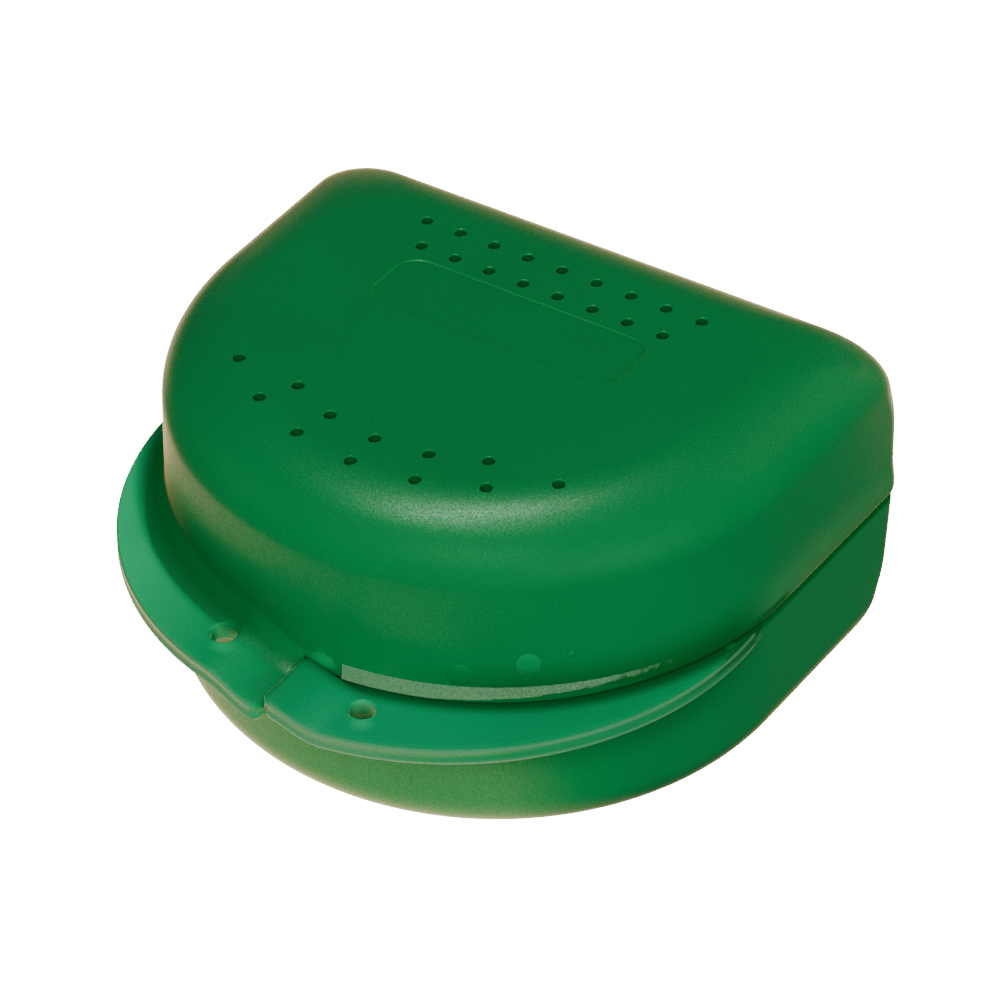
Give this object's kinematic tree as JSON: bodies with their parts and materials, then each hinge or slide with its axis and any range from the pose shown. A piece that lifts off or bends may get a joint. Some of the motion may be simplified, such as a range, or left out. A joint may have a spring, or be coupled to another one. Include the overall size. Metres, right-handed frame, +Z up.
{
  "type": "mouthguard case",
  "caption": "Hinged D-shaped vented plastic case made of two like halves with a split front grip flange, holding a U-shaped two-layer mouthguard.",
  "frame": {"origin": "on the surface that the case stands on, under the middle of the shut case's overall box", "axes": "+Z up out of the base, -Y to the front with the grip flange, +Y to the hinge, X along the hinge axis"},
  "size_m": [0.0812, 0.081, 0.0462],
  "materials": {
    "case_plastic": "satin, fine grained, slightly translucent",
    "guard_frame": "satin",
    "guard_liner": "soft, slightly translucent"
  },
  "bodies": {
    "base": {"base_shell": "case_plastic"},
    "lid": {"lid_shell": "case_plastic"},
    "mouthguard": {"mouthguard_frame": "guard_frame", "mouthguard_liner": "guard_liner"}
  },
  "joints": [
    {"name": "lid_hinge", "type": "hinge", "parent": "base", "child": "lid", "pos_m": [0, 0.0381, 0.0231], "axis": [-1, 0, 0], "range_deg": [0, 180]},
    {"name": "mouthguard_lift", "type": "slide", "parent": "base", "child": "mouthguard", "axis": [0, 0, 1], "range_m": [0, 0.018]}
  ]
}
